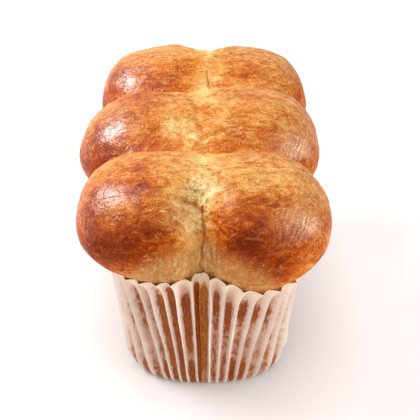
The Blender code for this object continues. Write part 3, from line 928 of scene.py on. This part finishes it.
def make_paper(dough):
    """The bare sheet, its points' fold shares, and its rings' levels."""
    rings, folds, levels = sheet_points(dough)
    count = rings.shape[1]
    # The base ring comes first, and the others are pulled up from it one by one
    bpy.ops.object.select_all(action="DESELECT")
    bpy.ops.mesh.primitive_circle_add(vertices=count, radius=0.05, fill_type="NOTHING")
    paper = bpy.context.object
    paper.name = paper.data.name = "fluted_paper"
    switch_to("EDIT")
    bpy.ops.mesh.select_mode(type="VERT")
    bpy.ops.mesh.select_all(action="SELECT")
    for _ in levels[1:]:
        bpy.ops.mesh.extrude_region_move(TRANSFORM_OT_translate={"value": (0, 0, 0.002)})
    switch_to("OBJECT")
    mesh = paper.data
    set_positions(mesh, rings.reshape(-1, 3))
    # The floor runs in from the pleats to a plain ring, and is filled across
    switch_to("EDIT")
    bpy.ops.mesh.select_all(action="DESELECT")
    switch_to("OBJECT")
    chosen = np.zeros(len(mesh.vertices), bool)
    chosen[:count] = True
    mesh.vertices.foreach_set("select", chosen)
    edges = np.array([e.vertices[:] for e in mesh.edges])
    mesh.edges.foreach_set("select", chosen[edges].all(1))
    switch_to("EDIT")
    bpy.ops.mesh.extrude_region_move(TRANSFORM_OT_translate={"value": (0, 0, 0)})
    bpy.ops.transform.resize(value=(0.5, 0.5, 1.0))
    bpy.ops.mesh.edge_face_add()
    switch_to("OBJECT")
    columns, _, _, _ = ring_columns()
    at, out = wall_frame(gathered(columns, 0.0), 0.0)
    points = positions(mesh)
    points[-count:, :2] = at - out * FLOOR_INSET
    points[-count:, 2] = 0.0
    set_positions(mesh, points)
    return paper, folds, levels


def soaked_share(levels, number, lying):
    """How strongly baked fat has soaked each point of the wall, and how golden each flute's is."""
    random = np.random.default_rng(PLEAT_SEED + 2)
    bands = np.stack([random.uniform(low, high, PLEATS) for low, high in FREE_BANDS], -1)
    speckling = random.uniform(0.24, 0.42, PLEATS)
    golden = random.uniform(0.35, 0.65, PLEATS)
    for index, row in FRONT_BANDS.items():
        bands[index] = row[:5]
        speckling[index], golden[index] = row[5:]
    top, low, strength, foot_top, foot_strength = bands[number].T
    rows = levels[:, None]
    # Bands and foot patches fade out over a tenth of the wall or so
    upper = 1 - smooth_step(rows, top - 0.08, top + 0.06)
    upper = upper * smooth_step(rows, low - 0.08, low + 0.08)
    foot = 1 - smooth_step(rows, foot_top - 0.05, foot_top + 0.06)
    spots = speckling[number] * (1 - smooth_step(rows, 0.66, 0.86))
    spots = spots + 0.16 * (1 - smooth_step(rows, 0.06, 0.34))
    soaked = np.maximum(np.maximum(upper * strength, foot * foot_strength), spots)
    return lying * smooth_step(rows, 0.0, 0.04) * soaked, golden[number]


def finish_paper(dough):
    """The paper case: the sheet with its folds, levels and grease noted, and its thickness."""
    paper, folds, levels = make_paper(dough)
    _, number, step, _ = ring_columns()
    _, depths = ridges()
    standing = np.where(step < 0.5, depths[number], np.roll(depths, -1)[number])
    clear = np.minimum(standing / CLEAR_DEPTH, 1)
    lying = 1 - smooth_step(np.abs(2 * step - 1) * clear, 0.30, 0.90)
    grease, golden = soaked_share(levels, number, lying)
    mesh = paper.data
    for name, values in (
        ("fold", folds * clear), ("level", np.repeat(levels, len(step))), ("grease", grease),
        ("golden", np.tile(golden, len(levels))),
    ):
        # The floor's points come after the wall's, and stay at 0
        noted = np.zeros(len(mesh.vertices))
        noted[: values.size] = values.ravel()
        set_attribute(mesh, name, noted)
    # The sheet's own thickness, inwards from its outer side
    select_only(paper)
    switch_to("EDIT")
    bpy.ops.mesh.select_all(action="SELECT")
    bpy.ops.mesh.normals_make_consistent(inside=False)
    switch_to("OBJECT")
    apply_modifier(paper, "SOLIDIFY", thickness=SHEET_THICKNESS, offset=-1.0)
    bpy.ops.object.shade_smooth_by_angle(angle=math.radians(SMOOTH_ANGLE))
    return paper


def paper_material():
    """Bleached greaseproof paper, pressed into flutes; baked fat darkens it where it lies on the
    dough."""
    material, tree = new_material("pleated_paper")
    place = add_node(tree, "TexCoord").outputs["Object"]
    fold, grease, level, golden = (
        add_node(tree, "Attribute", attribute_name=name).outputs["Fac"]
        for name in ("fold", "grease", "level", "golden")
    )
    # Ragged, feathered edges of the grease, broken up down to 0.5 mm specks
    upright = add_node(tree, "Mapping", {
        "Vector": place, "Scale": (1.0, 1.0, 0.55),
    }).outputs["Vector"]
    ragged = add_node(tree, "TexNoise", {
        "Vector": upright, "Scale": 1 / 0.0026, "Detail": 9.0, "Roughness": 0.85, "Distortion": 0.8,
    }).outputs["Fac"]
    loose = add_node(tree, "MapRange", {
        "Value": ragged, "From Min": 0.36, "From Max": 0.64, "To Min": -0.55, "To Max": 0.55,
    }, clamp=False).outputs["Result"]
    wetness = add_node(tree, "Math", {0: grease, 1: loose}, operation="ADD").outputs[0]
    wet = add_node(tree, "MapRange", {
        "Value": wetness, "From Min": 0.40, "From Max": 0.56,
    }, interpolation_type="SMOOTHSTEP").outputs["Result"]
    # The dry paper is a little see-through: darker where the dough is close behind it, in the inner
    # folds, which is partly painted shade there
    shade = add_node(tree, "TexNoise", {
        "Vector": place, "Scale": 1 / 0.006, "Detail": 5.0, "Roughness": 0.65,
    }).outputs["Fac"]
    lifted = add_node(tree, "MapRange", {
        "Value": shade, "From Min": 0.3, "From Max": 0.7, "To Min": -0.16, "To Max": 0.16,
    }, clamp=False).outputs["Result"]
    off_dough = add_node(tree, "Math", {0: fold, 1: lifted}, operation="ADD").outputs[0]
    dry_and_painted_light = add_node(tree, "ValToRGB", {"Fac": off_dough}, stops=(
        (0.00, "#c79d85"), (0.20, "#dcbaa5"), (0.60, "#f9e6d6"), (1.00, "#fff8f0"),
    )).outputs["Color"]
    # The rim is creamier, toasted by the oven
    near_rim = add_node(tree, "MapRange", {
        "Value": level, "From Min": 0.78, "From Max": 1.0, "To Max": 0.85,
    }, interpolation_type="SMOOTHSTEP").outputs["Result"]
    paper = add_node(tree, "Mix", {
        0: near_rim, 6: dry_and_painted_light, 7: linear("#f8e4c9"),
    }, data_type="RGBA").outputs[2]
    # Grease, from dark brown to gold
    toned = add_node(tree, "Math", {
        0: golden, 1: 0.26, 2: ragged,
    }, operation="MULTIPLY_ADD").outputs[0]
    soaked = add_node(tree, "ValToRGB", {"Fac": toned}, stops=(
        (0.46, "#732a04"), (0.62, "#a04a0c"), (0.74, "#b26a1c"), (0.84, "#cc9448"),
    )).outputs["Color"]
    mixed = add_node(tree, "Mix", {0: wet, 6: paper, 7: soaked}, data_type="RGBA").outputs[2]
    # Painted highlight: the tops of the ridges are painted near white
    ridge_highlight = add_node(tree, "MapRange", {
        "Value": fold, "From Min": 0.82, "From Max": 0.97, "To Max": 0.95,
    }).outputs["Result"]
    colour = add_node(tree, "Mix", {
        0: ridge_highlight, 6: mixed, 7: linear("#fff1e8"),
    }, data_type="RGBA").outputs[2]
    # Unevenness of the fibres, 1.2 mm
    fibres = add_node(tree, "TexNoise", {
        "Vector": place, "Scale": 1 / 0.0012, "Detail": 3.0,
    }).outputs["Fac"]
    bump = add_node(tree, "Bump", {
        "Height": fibres, "Distance": 0.00012, "Strength": 0.6,
    }).outputs["Normal"]
    # Greasy paper is smoother than dry paper
    dull = add_node(tree, "MapRange", {
        "Value": wet, "To Min": 0.62, "To Max": 0.38,
    }).outputs["Result"]
    shader = add_node(tree, "BsdfPrincipled", {
        "Base Color": colour, "Roughness": dull, "IOR": 1.47, "Specular IOR Level": 0.2,
        "Normal": bump,
    })
    add_node(tree, "OutputMaterial", {"Surface": shader.outputs["BSDF"]})
    return material


# ---- studio


def floor_material():
    """Matt, pale studio floor; it glows a little, but not where the loaf shades it."""
    material, tree = new_material("pale_floor")
    # Painted shade: the floor's glow is cut by ambient occlusion where the loaf stands close over
    # it
    glow_with_painted_shade = add_node(tree, "AmbientOcclusion", {
        "Color": linear("#fff5f3"), "Distance": 0.05,
    }, samples=16).outputs["Color"]
    shader = add_node(tree, "BsdfPrincipled", {
        "Base Color": linear("#9a9796"), "Roughness": 0.75, "Emission Color": glow_with_painted_shade,
        "Emission Strength": 0.83,
    })
    add_node(tree, "OutputMaterial", {"Surface": shader.outputs["BSDF"]})
    return material


def studio():
    """A pale floor in a white room, a soft key light high on the left, two weaker lights on the
    right and one behind, and the camera."""
    bpy.ops.mesh.primitive_plane_add(size=FLOOR_SIZE)
    floor = bpy.context.object
    floor.name = "floor"
    floor.data.materials.append(floor_material())

    scene = bpy.context.scene
    world = bpy.data.worlds.new("white room")
    scene.world = world
    world.use_nodes = True
    background = world.node_tree.nodes["Background"]
    background.inputs["Color"].default_value = (1, 1, 1, 1)
    background.inputs["Strength"].default_value = ROOM_LIGHT

    for name, direction, away, width, height, power in LIGHTS:
        light = bpy.data.lights.new(name, "AREA")
        light.shape = "RECTANGLE"
        light.size = width
        light.size_y = height
        light.energy = power
        lamp = new_object(name, light)
        way = Vector(direction).normalized()
        lamp.location = Vector(LIGHTS_AIM) + way * away
        lamp.rotation_euler = way.to_track_quat("Z", "Y").to_euler()
        lamp.visible_camera = False

    camera = bpy.data.cameras.new("camera")
    camera.lens = CAMERA_LENS
    camera.sensor_width = CAMERA_SENSOR
    viewer = new_object("camera", camera)
    viewer.location = CAMERA_PLACE
    viewer.rotation_euler = (math.radians(90 - CAMERA_LOOKS_DOWN), 0, 0)
    scene.camera = viewer
    scene.view_settings.view_transform = "Standard"


def main():
    """Makes the crust, then the sheet round it, and fits the dough to the sheet."""
    crust = make_crust()
    crust.data.materials.append(crust_material())
    dough = BVHTree.FromObject(crust, bpy.context.evaluated_depsgraph_get())
    paper = finish_paper(dough)
    fill_flutes(crust, dough)
    hold_in(crust, paper)
    paper.data.materials.append(paper_material())
    for piece, node, slot in (
        (crust, "brioche", "golden_crust"), (paper, "paper_case", "greaseproof_paper"),
    ):
        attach(piece, "root")
        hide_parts(node)
    studio()


main()
